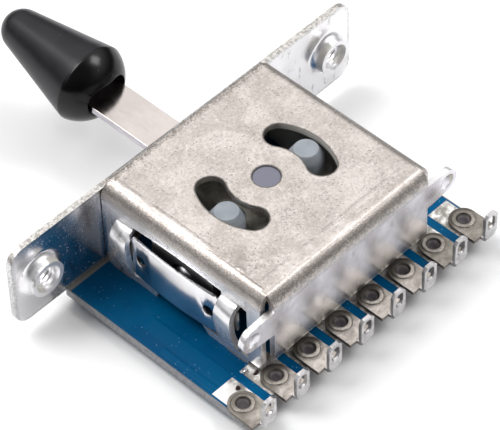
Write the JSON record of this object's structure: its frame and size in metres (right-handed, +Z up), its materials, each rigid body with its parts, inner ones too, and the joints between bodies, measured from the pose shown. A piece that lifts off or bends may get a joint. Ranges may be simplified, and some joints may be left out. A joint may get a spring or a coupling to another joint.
{
  "type": "guitar pickup selector switch",
  "caption": "Lever-type guitar pickup selector: folded steel cover with panel flange, tapered black knob, leaf-spring detent and circuit board with upright solder tabs.",
  "frame": {"origin": "midway between the two panel screw holes, on the flange's outer face, which meets the underside of the panel", "axes": "+Y out of the panel along the lever at its middle position, +X along the line of the two screw holes, +Z up through the cover's flat top, which is also the pivot's axis"},
  "size_m": [0.0484, 0.0532, 0.0128],
  "materials": {
    "plated_steel": "bright nickel plate on folded sheet",
    "lever_steel": "satin nickel plate, sheared edges",
    "spring_steel": "mirror-bright rolled strip",
    "ball_steel": "polished",
    "knob_plastic": "satin moulded",
    "guide_plastic": "moulded",
    "rotor_plastic": "smooth moulded",
    "board_mask": "solder mask on glass-fibre board",
    "pad_tin": "bright tin",
    "track_copper": "burnished copper foil",
    "terminal_tin": "matte tin plate on stamped brass",
    "eyelet_tin": "tinned",
    "wiper_bronze": "sprung bronze strip"
  },
  "bodies": {
    "frame": {"cover": "plated_steel", "circuit_board": "board_mask", "solder_pads": "pad_tin", "contact_tracks": "track_copper", "terminal_1": "terminal_tin", "terminal_2": "terminal_tin", "terminal_3": "terminal_tin", "terminal_4": "terminal_tin", "terminal_5": "terminal_tin", "terminal_6": "terminal_tin", "terminal_7": "terminal_tin", "terminal_8": "terminal_tin", "terminal_rivets": "eyelet_tin", "leaf_spring": "spring_steel", "ball_guide": "guide_plastic"},
    "lever": {"rotor": "rotor_plastic", "lever": "lever_steel", "knob": "knob_plastic", "wiper_left": "wiper_bronze", "wiper_right": "wiper_bronze"},
    "ball": {"detent_ball": "ball_steel"}
  },
  "joints": [
    {"name": "lever_swing", "type": "hinge", "parent": "frame", "child": "lever", "pos_m": [0, -0.01185, 0], "axis": [0, 0, 1], "range_deg": [-24, 24]},
    {"name": "ball_slide", "type": "slide", "parent": "frame", "child": "ball", "axis": [1, 0, 0], "range_m": [0, 0.0003], "stiffness_N_per_m": 50}
  ]
}
